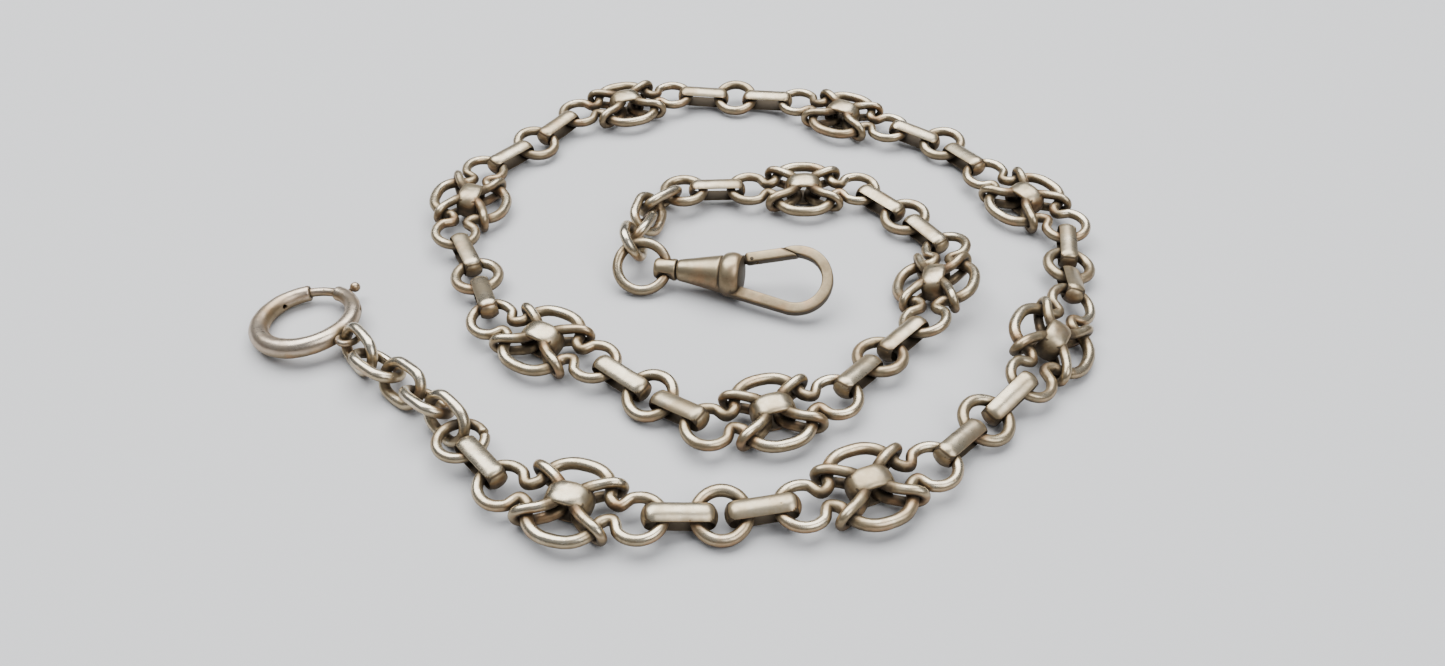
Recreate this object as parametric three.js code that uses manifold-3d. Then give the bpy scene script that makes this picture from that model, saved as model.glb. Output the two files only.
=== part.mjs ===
// A gentleman's silver pocket watch chain, lying in a loose spiral on the plane z = 0.
//
// From the outer end inwards: a bolt ring, five cable links and an open jump ring; then eleven fancy links
// and eleven round rings, taken in turn and coupled by twenty-two barrel links; then four cable links, a
// clip ring and a dog clip with its swivel and its gate. Each of them is one mesh.
//
// Sizes are in millimetres and angles in degrees. A link's own frame has x along the chain, y across it
// and z up. A mesh's userData.hinge says what it turns on: the link that holds it, a point and an axis.
import * as THREE from "three";
import { mergeVertices } from "three/addons/utils/BufferGeometryUtils.js";
import Module from "manifold-3d";

// ---------------------------------------------------------------- driving dimensions
const WIRE = 1.28; // round wire of the rings and of the fancy links' frames
const RING_RADIUS = 2.5; // a round ring, to the middle of its wire
const BARREL = { length: 7.4, height: 2.55, width: 2.05, strip: 0.4 };

const FANCY = {
  eye: { x: 7, radius: 2.4, turn: 125 }, // the round eye at each end
  neck: { x: 4.75, y: 0.8 }, // where the two wires nearly meet
  oval: { x: 3.75, y: 4.45, power: 2.5, start: 14 }, // the middle, a squarish oval
  loop: { wire: 1.1, apex: 0.66, reach: 4.2, spread: 3.1, end: 0.84, height: 0.98 },
  collar: { length: 4.5, height: 3.76, width: 2.9, strip: 0.47 },
};
const CABLE = { length: 6.85, width: 4.9, wire: 1.18 };
const JUMP_RING = { radius: 2.42, wire: 1.05, gap: 10, gapAt: 20 };
const CLIP_RING = { radius: 2.95, wire: 1.2 };

const BOLT_RING = {
  radius: 5.25, // to the middle of the tube
  thick: 2.1,
  thin: 1.75,
  thickAt: -120,
  gapLeft: 98, // the gap that the bolt closes
  gapRight: 64,
  bore: 1.2,
  slot: { from: 60, to: 7, width: 0.64 }, // the knob's way along the rim
  vent: { at: 141, width: 0.5 },
  eye: { at: -33, out: 7.1, radius: 1.2, wire: 0.76 },
};
const BOLT = { wire: 0.9, tip: 105, tail: 22, knobAt: 54, knobOut: 7.05, knob: 1.2, neck: 0.44 };

const CLIP = {
  cone: { length: 5.3, small: 1.25, large: 2.4 }, // radii at its two ends
  bead: { start: 5.35, end: 7.75, radius: 2.65 },
  skirt: { length: 6.9, radius: 2.75, y: -1.2 },
  bore: { radius: 0.62, depth: 2.7 },
  hook: { centre: 14.2, radius: 3.55, width: 1.3, depth: 1.3, chamfer: 0.2, legStart: 6.5, legY: 1.95 },
  joint: { angle: 110, slant: 1, gap: 0.16 }, // where the gate's end meets the hook's end
  tongue: { start: 7.4, radius: 0.5, thickness: 0.42 },
  pivot: { x: 8.65, y: 2.1 },
  fork: { root: 8, slot: 0.7, depth: 9.5 },
};
const SWIVEL = {
  length: 2.7,
  radius: 1.3,
  gap: 0.15,
  hole: 1,
  holeAt: 1.5,
  play: 0.12, // how far the ring's wire is from the middle of the hole
  pin: 0.45,
  pinLength: 2.3,
};

// ---------------------------------------------------------------- how the chain lies
const REST = 0.02; // clearance between the plane and what lies on it
const RING_Z = 1.66; // least height of a round ring, which the barrels hold clear of the plane
const END_RING_Z = 2.02; // height of the jump ring and of the last round ring, which cable links hold up

// Each fancy link's middle, its direction along the chain, from the outer end inwards, and its roll.
const FANCY_LAY = [
  [-10.6, -36.5, -17, 6],
  [18.2, -34.5, 21, 6],
  [40.2, -13.9, 60, 20],
  [42.7, 13.6, 125, -8],
  [21, 34.5, 150, -6],
  [-9.8, 37.5, 201, -5],
  [-28.2, 13.3, 264, -8],
  [-15.9, -13.4, 330, 6],
  [9.2, -24.5, 18, 6],
  [28.9, -3.6, 72, -16],
  [14.5, 16, 180, -6],
];
// Each round ring's middle and its roll: ring i lies between fancy links i and i + 1, and the last one
// after them all.
const RING_LAY = [
  [3.9, -37.9, 20],
  [31.1, -25.4, 16],
  [45.4, 0.2, 6],
  [34.2, 27.4, -12],
  [5.9, 39.8, -18],
  [-21.6, 27.5, -14],
  [-25, -1.8, 0],
  [-3.6, -21.8, 20],
  [21.2, -15.8, -4],
  [27, 10.2, -10],
  [-1, 15.5, 0],
];
const JUMP_LAY = [-22.3, -28.6];

// Where the cable links hang on each other and on what is at their ends, and how far each is rolled.
const OUTER_RUN = {
  points: [
    [-36.45, -14.3, 2.42],
    [-34.7, -16.4, 2.25],
    [-31.5, -18.9, 2],
    [-28.3, -21.7, 2],
    [-25, -24.85, 2.38],
    [-23.42, -26.46, END_RING_Z],
  ],
  rolls: [66, -30, 50, -38, 62],
};
const INNER_RUN = {
  points: [
    [-2.98, 14, END_RING_Z],
    [-4.9, 11.9, 2.32],
    [-5.7, 8.3, 2.1],
    [-6.65, 4.4, 2.9],
    [-6.74, 1.34, 3.94],
  ],
  rolls: [56, -42, 50, -58],
};
const BOLT_RING_LAY = { x: -43.1, y: -9.5, z: 1.62, tilt: 6 };
const CLIP_RING_LAY = { x: -5.5, y: -0.85, z: 2.4, tilt: 35 };
const CLIP_LAY = { holdAt: -6, heading: -12.5, rise: 3.6, roll: 30 };

// ---------------------------------------------------------------- vectors and frames
const rad = THREE.MathUtils.degToRad;
const vec = (x, y, z = 0) => new THREE.Vector3(x, y, z);
const UP = vec(0, 0, 1);
const DOWN = vec(0, 0, -1);
const polar = (radius, degrees) => vec(radius * Math.cos(rad(degrees)), radius * Math.sin(rad(degrees)));
const steps = (from, to, count) =>
  Array.from({ length: count + 1 }, (_, i) => from + ((to - from) * i) / count);

// The turn that points x along a direction and y as near as it can be to a side.
function turnAlong(direction, side) {
  const x = direction.clone().normalize();
  const z = x.clone().cross(side).normalize();
  const y = z.clone().cross(x);
  return new THREE.Quaternion().setFromRotationMatrix(new THREE.Matrix4().makeBasis(x, y, z));
}

// The turn that points x along a direction, keeps y level, and then rolls about x.
function turnTo(direction, roll = 0) {
  const level = turnAlong(direction, UP.clone().cross(direction));
  return level.multiply(new THREE.Quaternion().setFromAxisAngle(vec(1, 0, 0), rad(roll)));
}

// ---------------------------------------------------------------- solids
const wasm = await Module();
wasm.setup();

// A geometry's shape alone, with its shared vertices merged.
function bare(geometry) {
  const copy = geometry.clone();
  copy.deleteAttribute("normal");
  copy.deleteAttribute("uv");
  return mergeVertices(copy, 1e-4);
}

function toSolid(geometry) {
  const { index, attributes } = bare(geometry);
  const vertProperties = new Float32Array(attributes.position.array);
  const triVerts = new Uint32Array(index.array);
  return new wasm.Manifold(new wasm.Mesh({ numProp: 3, vertProperties, triVerts }));
}

function toGeometry(solid) {
  const { vertProperties, triVerts } = solid.getMesh();
  const geometry = new THREE.BufferGeometry();
  geometry.setAttribute("position", new THREE.BufferAttribute(new Float32Array(vertProperties), 3));
  geometry.setIndex(new THREE.BufferAttribute(new Uint32Array(triVerts), 1));
  return geometry;
}

const join = (...geometries) => toGeometry(wasm.Manifold.union(geometries.map(toSolid)));
const cut = (geometry, ...tools) => toGeometry(wasm.Manifold.difference([geometry, ...tools].map(toSolid)));

// A closed solid through rings of points. A closed loft runs round to its first ring, an open one is capped.
function loft(rings, closed) {
  const sides = rings[0].length;
  const points = rings.flat();
  const faces = [];
  for (let i = 0; i < rings.length - (closed ? 0 : 1); i++) {
    const here = i * sides;
    const there = ((i + 1) % rings.length) * sides;
    for (let k = 0; k < sides; k++) {
      const next = (k + 1) % sides;
      faces.push([here + k, here + next, there + k], [here + next, there + next, there + k]);
    }
  }
  const lastRing = (rings.length - 1) * sides;
  for (let k = 1; k < sides - 1 && !closed; k++) {
    faces.push([0, k + 1, k], [lastRing, lastRing + k, lastRing + k + 1]);
  }
  const corner = ([a, b, c]) => points[a].dot(points[b].clone().cross(points[c]));
  if (faces.reduce((sum, face) => sum + corner(face), 0) < 0) faces.forEach((face) => face.reverse());
  const geometry = new THREE.BufferGeometry().setFromPoints(points);
  geometry.setIndex(faces.flat());
  return geometry;
}

// A section's points, [outwards, upwards], set round a circle of the part's own plane at an angle.
const onArc = (radius, degrees, section) =>
  section.map(([out, up]) => polar(radius + out, degrees).setZ(up));

const roundSection = (radius, sides) =>
  steps(0, 360, sides).slice(1).map((a) => [radius * Math.cos(rad(a)), radius * Math.sin(rad(a))]);

function arcRod(radius, from, to, wire, sides, count) {
  return loft(steps(from, to, count).map((a) => onArc(radius, a, roundSection(wire / 2, sides))), false);
}

// A closed band of domed strip: a stadium seen from the side, with its hole along y.
function band({ length, height, width, strip }, count) {
  const radius = height / 2 - strip;
  const straight = length / 2 - height / 2;
  const section = [
    [-width / 2, 0],
    [width / 2, 0],
    [width / 2, strip / 3],
    [width / 4, strip],
    [-width / 4, strip],
    [-width / 2, strip / 3],
  ];
  const end = (side, from, to) =>
    steps(from, to, count).map((a) =>
      section.map(([across, out]) => {
        const p = polar(radius + out, a);
        return vec(side * straight + p.x, across, p.y);
      }),
    );
  return loft([...end(1, -90, 90), ...end(-1, 90, 270)], true);
}

const closedWire = (points, wire, count, sides) =>
  new THREE.TubeGeometry(new THREE.CatmullRomCurve3(points, true), count, wire / 2, sides, true);

// ---------------------------------------------------------------- the links' shapes
// One quarter of a fancy link's frame: round the eye, in to the neck and out round the oval.
function frameQuarter() {
  const { eye, neck, oval } = FANCY;
  const round = steps(0, eye.turn, 5).map((a) => polar(eye.radius, a).add(vec(eye.x, 0)));
  const swell = steps(oval.start, 90, 4).map((a) =>
    vec(
      oval.x * Math.max(Math.cos(rad(a)), 0) ** (2 / oval.power),
      oval.y * Math.sin(rad(a)) ** (2 / oval.power),
    ),
  );
  return [...round, vec(neck.x, neck.y), ...swell];
}

function fancyFrame() {
  const quarter = frameQuarter();
  const flip = (sx, sy) => quarter.map((p) => vec(p.x * sx, p.y * sy));
  const points = [
    ...flip(1, 1),
    ...flip(-1, 1).reverse().slice(1),
    ...flip(-1, -1).slice(1),
    ...flip(1, -1).reverse().slice(1, -1),
  ];
  return closedWire(points, WIRE, 36, 6);
}

// A long closed loop, bowed in plan so that its ends reach over and under the frame on one side.
function fancyLoop(side) {
  const { wire, apex, reach, spread, end, height } = FANCY.loop;
  const inPlan = (s) => vec(side * (apex + reach * s * s), spread * s);
  const leg = (z, from, to) => steps(from, to, 4).map((s) => inPlan(s).setZ(z));
  const bend = (s) => {
    const along = vec(side * 2 * reach * s, spread).normalize().multiplyScalar(Math.sign(s) * height);
    return inPlan(s).add(along);
  };
  const points = [...leg(height, -end, end), bend(end), ...leg(-height, end, -end), bend(-end)];
  return closedWire(points, wire, 12, 5);
}

const fancyShape = () => join(fancyFrame(), fancyLoop(1), fancyLoop(-1), band(FANCY.collar, 3));
const ringShape = ({ radius, wire }) => new THREE.TorusGeometry(radius, wire / 2, 6, 16);

function cableShape() {
  const { length, width, wire } = CABLE;
  const radius = (width - wire) / 2;
  const straight = (length - width) / 2;
  const end = (side, from, to) => steps(from, to, 4).map((a) => polar(radius, a).add(vec(side * straight, 0)));
  return closedWire([...end(1, -90, 90), ...end(-1, 90, 270)], wire, 14, 5);
}

function jumpRingShape() {
  const { radius, wire, gap, gapAt } = JUMP_RING;
  return arcRod(radius, gapAt + gap / 2, gapAt + 360 - gap / 2, wire, 6, 16);
}

// ---------------------------------------------------------------- the bolt ring
function tubeRadius(degrees) {
  const { thick, thin, thickAt } = BOLT_RING;
  return thin / 2 + ((thick - thin) / 4) * (1 + Math.cos(rad(degrees - thickAt)));
}

function boltRingShape() {
  const { radius, gapLeft, gapRight, bore, slot, vent, eye } = BOLT_RING;
  const round = steps(gapLeft, gapRight + 360, 24);
  const tube = loft(round.map((a) => onArc(radius, a, roundSection(tubeRadius(a), 10))), false);
  const lug = new THREE.TorusGeometry(eye.radius, eye.wire / 2, 6, 12);
  lug.translate(...polar(eye.out, eye.at).toArray());

  const overrun = 4; // degrees that the bore's cutter stands out of the tube's two ends
  const hollow = arcRod(radius, gapLeft - overrun, gapRight + 360 + overrun, bore, 6, 24);
  const half = slot.width / 2;
  const groove = [
    [0.3, -half],
    [1.6, -half],
    [1.6, half],
    [0.3, half],
  ];
  const way = loft(steps(slot.from, slot.to, 5).map((a) => onArc(radius, a, groove)), false);
  const hole = new THREE.CylinderGeometry(vent.width / 2, vent.width / 2, 1.6, 6);
  hole.translate(0, radius - 1, 0).rotateZ(rad(vent.at - 90));
  return cut(join(tube, lug), hollow, way, hole);
}

function boltShape() {
  const { wire, tip, tail, knobAt, knobOut, knob, neck } = BOLT;
  const rod = arcRod(BOLT_RING.radius, tip, tail, wire, 6, 8);
  const inward = BOLT_RING.radius;
  const stem = new THREE.CylinderGeometry(neck / 2, neck / 2, knobOut - inward, 6);
  stem.translate(0, (knobOut + inward) / 2, 0);
  const ball = new THREE.SphereGeometry(knob / 2, 8, 6);
  ball.translate(0, knobOut, 0);
  const grip = join(stem, ball);
  grip.rotateZ(rad(knobAt - 90));
  return join(rod, grip);
}

// ---------------------------------------------------------------- the dog clip
// A profile of [radius, distance along x] turned about x.
function turned(profile, sides) {
  const shape = new THREE.LatheGeometry(profile.map(([r, x]) => new THREE.Vector2(r, x)), sides);
  return shape.rotateZ(-Math.PI / 2);
}

const barSection = ({ width, depth, chamfer }) => {
  const [w, d] = [width / 2, depth / 2];
  return [
    [w, -d + chamfer],
    [w, d - chamfer],
    [w - chamfer, d],
    [chamfer - w, d],
    [-w, d - chamfer],
    [-w, chamfer - d],
    [chamfer - w, -d],
    [w - chamfer, -d],
  ];
};

// The bar's section at a point, square to its direction, with its end slanted by a share of its width.
function station(point, direction, slant = 0) {
  const along = direction.clone().normalize();
  const out = along.clone().cross(UP);
  return barSection(CLIP.hook).map(([across, up]) =>
    point.clone().addScaledVector(out, across).addScaledVector(along, across * slant).setZ(up),
  );
}

// Where the gate's line touches the hook's end, and the direction from the hook's end to the gate.
function clipJoint() {
  const { hook, joint } = CLIP;
  const point = polar(hook.radius, joint.angle).add(vec(hook.centre, 0));
  return { point, along: polar(1, joint.angle + 90) };
}

function hookShape() {
  const { hook, joint } = CLIP;
  const centre = vec(hook.centre, 0);
  const start = vec(hook.legStart, -hook.legY);
  const toLeg = start.clone().sub(centre);
  const spread = THREE.MathUtils.radToDeg(Math.acos(hook.radius / toLeg.length()));
  const touch = THREE.MathUtils.radToDeg(Math.atan2(toLeg.y, toLeg.x)) + spread;
  const leg = polar(hook.radius, touch).add(centre).sub(start);
  const bend = steps(touch, joint.angle, 9).map((a) => {
    const slant = a === joint.angle ? joint.slant : 0;
    return station(polar(hook.radius, a).add(centre), polar(1, a + 90), slant);
  });
  return loft([station(start, leg), ...bend], false);
}

// The lower side of the cone's wide end, drawn out to hold the hook's leg.
function skirtShape() {
  const { cone, skirt } = CLIP;
  const start = cone.length - 0.6;
  const flare = turned(
    [
      [0, start],
      [cone.large * 0.9, start],
      [skirt.radius, skirt.length],
      [0, skirt.length],
    ],
    14,
  );
  const above = new THREE.BoxGeometry(skirt.length, 3 * skirt.radius, 3 * skirt.radius);
  return cut(flare, above.translate(skirt.length, skirt.y + 1.5 * skirt.radius, 0));
}

function clipBodyShape() {
  const { cone, bead, bore, tongue, pivot } = CLIP;
  const [middle, half] = [(bead.start + bead.end) / 2, (bead.end - bead.start) / 2];
  const swell = steps(-75, 75, 4).map((a) => [
    cone.large + (bead.radius - cone.large) * Math.cos(rad(a)),
    middle + half * Math.sin(rad(a)),
  ]);
  const profile = [
    [0, bore.depth],
    [bore.radius, bore.depth],
    [bore.radius, 0],
    [cone.small, 0],
    [cone.large, cone.length],
    ...swell,
    [0, bead.end],
  ];
  const tail = new THREE.BoxGeometry(pivot.x - tongue.start, 2 * tongue.radius, tongue.thickness);
  tail.translate((pivot.x + tongue.start) / 2, pivot.y - 0.1, 0);
  const eye = new THREE.CylinderGeometry(tongue.radius, tongue.radius, tongue.thickness, 10);
  eye.rotateX(Math.PI / 2).translate(pivot.x, pivot.y - 0.1, 0);
  return join(turned(profile, 14), skirtShape(), hookShape(), tail, eye);
}

function gateShape() {
  const { hook, joint, pivot, fork } = CLIP;
  const end = clipJoint();
  const root = vec(fork.root, pivot.y - 0.05);
  const tip = end.point.clone().addScaledVector(end.along, joint.gap);
  const along = root.clone().sub(tip);
  const bar = loft([station(tip, along, joint.slant), station(root, along)], false);
  const slot = new THREE.BoxGeometry(fork.depth - fork.root + 1, 3 * hook.width, fork.slot);
  slot.translate((fork.depth + fork.root - 1) / 2, pivot.y, 0);
  return cut(bar, slot);
}

// The swivel's block ends at x = -gap, and its pin turns in the clip's bore.
function swivelShape() {
  const { length, radius, gap, hole, holeAt, pin, pinLength } = SWIVEL;
  const [far, near] = [-gap - length, -gap];
  const block = turned(
    [
      [0, far],
      [radius * 0.75, far],
      [radius, far + 0.3],
      [radius, near],
      [pin, near],
      [pin, pinLength],
      [0, pinLength],
    ],
    10,
  );
  const eye = new THREE.CylinderGeometry(hole, hole, 3 * radius, 10);
  return cut(block, eye.translate(-holeAt, 0, 0));
}

// ---------------------------------------------------------------- materials
const silver = (color, roughness) => new THREE.MeshStandardMaterial({ color, roughness, metalness: 1 });
const PLAIN_SILVER = silver(0xb9b1a2, 0.34);
const TARNISHED_SILVER = silver(0x9c9282, 0.42);
const BARREL_SILVER = silver(0xc2bbac, 0.3);
const CLIP_SILVER = silver(0xbdb29a, 0.28);
const SPRING_SILVER = silver(0xb5aa92, 0.32);

// ---------------------------------------------------------------- the assembly
const chain = new THREE.Group();

function add(name, geometry, material, position, turn) {
  const mesh = new THREE.Mesh(geometry, material);
  mesh.name = name;
  mesh.position.copy(position);
  mesh.quaternion.copy(turn);
  chain.add(mesh);
  return mesh;
}

// A point or a direction of a link's own frame, as the chain's frame has it.
const pointOf = (mesh, point) => point.clone().applyQuaternion(mesh.quaternion).add(mesh.position);
const directionOf = (mesh, direction) => direction.clone().applyQuaternion(mesh.quaternion);

function hinge(child, parent, at, axis) {
  child.userData.hinge = { parent: parent.name, at: at.clone(), axis: axis.clone().normalize() };
}

const numbered = (name, i) => `${name}_${String(i + 1).padStart(2, "0")}`;
const LEVEL = new THREE.Quaternion();

// How high a link's middle is when the link stands on the plane as it is turned.
function standing(geometry, turn) {
  const placed = geometry.clone().applyQuaternion(turn);
  placed.computeBoundingBox();
  return REST - placed.boundingBox.min.z;
}

const fancyGeometry = fancyShape();
const fancies = FANCY_LAY.map(([x, y, heading, roll], i) => {
  const turn = turnTo(polar(1, heading), roll);
  const middle = vec(x, y, standing(fancyGeometry, turn));
  return add(numbered("fancy_link", i), fancyGeometry, TARNISHED_SILVER, middle, turn);
});

const eyeOf = (fancy, side) => pointOf(fancy, vec(side * FANCY.eye.x, 0));

// A ring rolls about the level line between the two fancy links' eyes that it lies between.
const ringGeometry = ringShape({ radius: RING_RADIUS, wire: WIRE });
const LAST = RING_LAY.length - 1;
const rings = RING_LAY.map(([x, y, roll], i) => {
  const to = i === LAST ? vec(x, y) : eyeOf(fancies[i + 1], -1);
  const turn = turnTo(to.sub(eyeOf(fancies[i], 1)).setZ(0), roll);
  const z = i === LAST ? END_RING_Z : Math.max(RING_Z, standing(ringGeometry, turn));
  return add(numbered("ring", i), ringGeometry, PLAIN_SILVER, vec(x, y, z), turn);
});
const jumpRing = add("jump_ring", jumpRingShape(), PLAIN_SILVER, vec(...JUMP_LAY, END_RING_Z), LEVEL);

// Where a round of wire is nearest to a point outside it, and how the wire runs there.
function nearestOnWire(link, middle, radius, outside) {
  const up = directionOf(link, UP);
  const out = outside.clone().sub(middle).projectOnPlane(up).normalize();
  return { at: middle.clone().addScaledVector(out, radius), out, up };
}

// A barrel link from a fancy link's eye, side 1 or -1, to a round ring. Its holder is the one of the two
// nearer the chain's middle. It swings round its holder's eye or ring, and the other one tips in it.
const barrelGeometry = band(BARREL, 4);
function addBarrel(i, fancy, side, ring, ringRadius, fancyHolds) {
  const eye = eyeOf(fancy, side);
  const onEye = nearestOnWire(fancy, eye, FANCY.eye.radius, ring.position);
  const onRing = nearestOnWire(ring, ring.position, ringRadius, eye);
  const eyeWire = onEye.up.clone().cross(onEye.out);
  const ringWire = onRing.out.clone().cross(onRing.up);
  const centre = onEye.at.clone().add(onRing.at).multiplyScalar(0.5);
  const turn = turnAlong(onRing.at.clone().sub(onEye.at), eyeWire.clone().add(ringWire));
  const barrel = add(numbered("barrel", i), barrelGeometry, BARREL_SILVER, centre, turn);
  if (fancyHolds) {
    hinge(barrel, fancy, eye, onEye.up);
    hinge(ring, barrel, onRing.at, ringWire.clone().negate());
  } else {
    hinge(barrel, ring, ring.position, onRing.up);
    hinge(fancy, barrel, onEye.at, eyeWire.clone().negate());
  }
  return barrel;
}

// The sixth fancy link, in the middle of the chain, is the one that everything else hangs from.
const MIDDLE = 5;
fancies.forEach((fancy, i) => {
  const before = i ? rings[i - 1] : jumpRing;
  const beforeRadius = i ? RING_RADIUS : JUMP_RING.radius;
  addBarrel(2 * i, fancy, -1, before, beforeRadius, i <= MIDDLE);
  addBarrel(2 * i + 1, fancy, 1, rings[i], RING_RADIUS, i >= MIDDLE);
});

// Cable links between the points of a run. Each turns about the wire of the one that holds it.
function addRun(name, { points, rolls }) {
  const at = points.map((p) => vec(...p));
  const geometry = cableShape();
  return rolls.map((roll, i) => {
    const along = at[i + 1].clone().sub(at[i]);
    const centre = at[i].clone().addScaledVector(along, 0.5);
    return add(`${name}_${i + 1}`, geometry, PLAIN_SILVER, centre, turnTo(along, roll));
  });
}

const outerLinks = addRun("cable_link", OUTER_RUN);
const innerLinks = addRun("clip_link", INNER_RUN);
const ACROSS = vec(0, 1, 0);
const endOf = (side) => vec((side * (CABLE.length - CABLE.wire)) / 2, 0);

// A ring's own wire at a point: the axis on which whatever hangs there turns.
function hangOnRing(child, ring, at) {
  const outward = at.clone().sub(ring.position).normalize();
  hinge(child, ring, at, directionOf(ring, UP).cross(outward));
}

hangOnRing(outerLinks[4], jumpRing, vec(...OUTER_RUN.points[5]));
for (const i of [3, 2, 1, 0]) {
  const holder = outerLinks[i + 1];
  hinge(outerLinks[i], holder, pointOf(holder, endOf(-1)), directionOf(holder, ACROSS));
}
hangOnRing(innerLinks[0], rings[10], vec(...INNER_RUN.points[0]));
for (const i of [1, 2, 3]) {
  const holder = innerLinks[i - 1];
  hinge(innerLinks[i], holder, pointOf(holder, endOf(1)), directionOf(holder, ACROSS));
}

// The bolt ring leans on its far rim, with its eye held up by the first cable link.
const lean = new THREE.Quaternion().setFromAxisAngle(
  polar(1, BOLT_RING.eye.at - 90),
  rad(BOLT_RING_LAY.tilt),
);
const boltRingAt = vec(BOLT_RING_LAY.x, BOLT_RING_LAY.y, BOLT_RING_LAY.z);
const boltRing = add("bolt_ring", boltRingShape(), CLIP_SILVER, boltRingAt, lean);
const bolt = add("bolt", boltShape(), SPRING_SILVER, boltRingAt, lean);
hinge(boltRing, outerLinks[0], pointOf(outerLinks[0], endOf(-1)), directionOf(outerLinks[0], ACROSS));
hinge(bolt, boltRing, boltRingAt, directionOf(boltRing, DOWN));

// The clip ring leans on the last clip link, and passes through the swivel's block.
const clipRingAt = vec(CLIP_RING_LAY.x, CLIP_RING_LAY.y, CLIP_RING_LAY.z);
const clipRing = add(
  "clip_ring",
  ringShape(CLIP_RING),
  CLIP_SILVER,
  clipRingAt,
  turnTo(vec(1, 0), CLIP_RING_LAY.tilt),
);
hinge(clipRing, innerLinks[3], pointOf(innerLinks[3], endOf(1)), directionOf(innerLinks[3], ACROSS));

const clipLine = polar(1, CLIP_LAY.heading).setZ(Math.tan(rad(CLIP_LAY.rise))).normalize();
const onClipRing = pointOf(clipRing, polar(CLIP_RING.radius, CLIP_LAY.holdAt));
const clipAt = onClipRing.clone().addScaledVector(clipLine, SWIVEL.holeAt - SWIVEL.play);
const swivelTurn = turnTo(clipLine, CLIP_RING_LAY.tilt);
const swivel = add("clip_swivel", swivelShape(), CLIP_SILVER, clipAt, swivelTurn);
const clipTurn = turnTo(clipLine, CLIP_LAY.roll);
const clipBody = add("clip_body", clipBodyShape(), CLIP_SILVER, clipAt, clipTurn);
const gate = add("clip_gate", gateShape(), CLIP_SILVER, clipAt, clipTurn);
hangOnRing(swivel, clipRing, onClipRing);
hinge(clipBody, swivel, clipAt, clipLine);
hinge(gate, clipBody, pointOf(gate, vec(CLIP.pivot.x, CLIP.pivot.y)), directionOf(gate, DOWN));

// The origin is under the middle of the whole chain, on the plane that it lies on.
const box = new THREE.Box3().setFromObject(chain, true);
const middle = box.getCenter(vec(0, 0));
chain.position.set(-middle.x, -middle.y, -box.min.z);

export default chain;
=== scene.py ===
"""A gentleman's silver pocket watch chain in a loose spiral, drawn over its CAD frame.

The tables and the meshes are in millimetres, and piece() turns them into metres.
The floor and the lights are in metres.
"""

import math

import bpy
import numpy as np
from mathutils import Matrix, Vector, noise
from mathutils.bvhtree import BVHTree


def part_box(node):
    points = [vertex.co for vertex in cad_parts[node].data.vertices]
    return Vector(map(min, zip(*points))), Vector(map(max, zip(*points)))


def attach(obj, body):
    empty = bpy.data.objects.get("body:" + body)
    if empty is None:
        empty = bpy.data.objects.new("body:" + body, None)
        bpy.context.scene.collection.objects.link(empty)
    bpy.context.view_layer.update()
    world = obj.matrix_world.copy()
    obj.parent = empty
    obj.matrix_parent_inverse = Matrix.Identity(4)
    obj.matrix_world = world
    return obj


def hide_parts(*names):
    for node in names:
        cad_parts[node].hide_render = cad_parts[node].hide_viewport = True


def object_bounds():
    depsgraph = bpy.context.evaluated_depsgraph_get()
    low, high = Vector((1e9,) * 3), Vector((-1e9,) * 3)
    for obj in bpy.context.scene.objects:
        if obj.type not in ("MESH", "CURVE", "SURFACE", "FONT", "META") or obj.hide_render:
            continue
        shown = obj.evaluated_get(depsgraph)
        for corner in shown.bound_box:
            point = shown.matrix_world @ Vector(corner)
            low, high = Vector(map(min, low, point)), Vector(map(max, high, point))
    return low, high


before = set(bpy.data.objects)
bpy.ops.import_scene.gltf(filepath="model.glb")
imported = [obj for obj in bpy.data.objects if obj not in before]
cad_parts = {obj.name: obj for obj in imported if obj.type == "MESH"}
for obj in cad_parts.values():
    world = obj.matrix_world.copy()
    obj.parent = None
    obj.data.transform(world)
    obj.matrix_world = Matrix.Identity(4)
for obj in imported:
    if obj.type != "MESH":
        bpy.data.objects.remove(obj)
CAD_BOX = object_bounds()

MM = 0.001

# ---------------------------------------------------------------- dimensions
# They are the CAD's, or up to 0.2 mm off where the drawn metal is fuller or thinner.
WIRE = 1.28
RING_RADIUS = 2.5
BARREL = dict(length=7.4, height=2.55, width=2.05, strip=0.4, crown=0.85)
COLLAR = dict(length=4.8, height=3.72, width=2.62, strip=0.56)
EYE_X, EYE_RADIUS, EYE_TURN = 7.0, 2.4, 125
NECK = (4.75, 0.8)
OVAL = dict(x=3.75, y=4.45, power=2.5, start=14)
FRAME_FULLNESS, FRAME_DRAWN_OUT = 1.01, 0.09
LOOP = dict(wire=1.06, apex=0.66, reach=4.2, spread=3.1, end=0.84, height=0.98, wider=1.06)
CABLE = dict(length=6.85, width=4.9, wire=1.19)
JUMP = dict(radius=2.42, wire=1.1, gap=10, gap_at=20, step=0.12)
CLIP_RING = dict(radius=2.95, wire=1.22)

# The heading of each fancy link along the chain, from the outer end inwards, and its roll.
FANCY_LAY = [
    (-17, 6),
    (21, 6),
    (60, 20),
    (125, -8),
    (150, -6),
    (201, -5),
    (264, -8),
    (330, 6),
    (18, 6),
    (72, -16),
    (180, -6),
]
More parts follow.
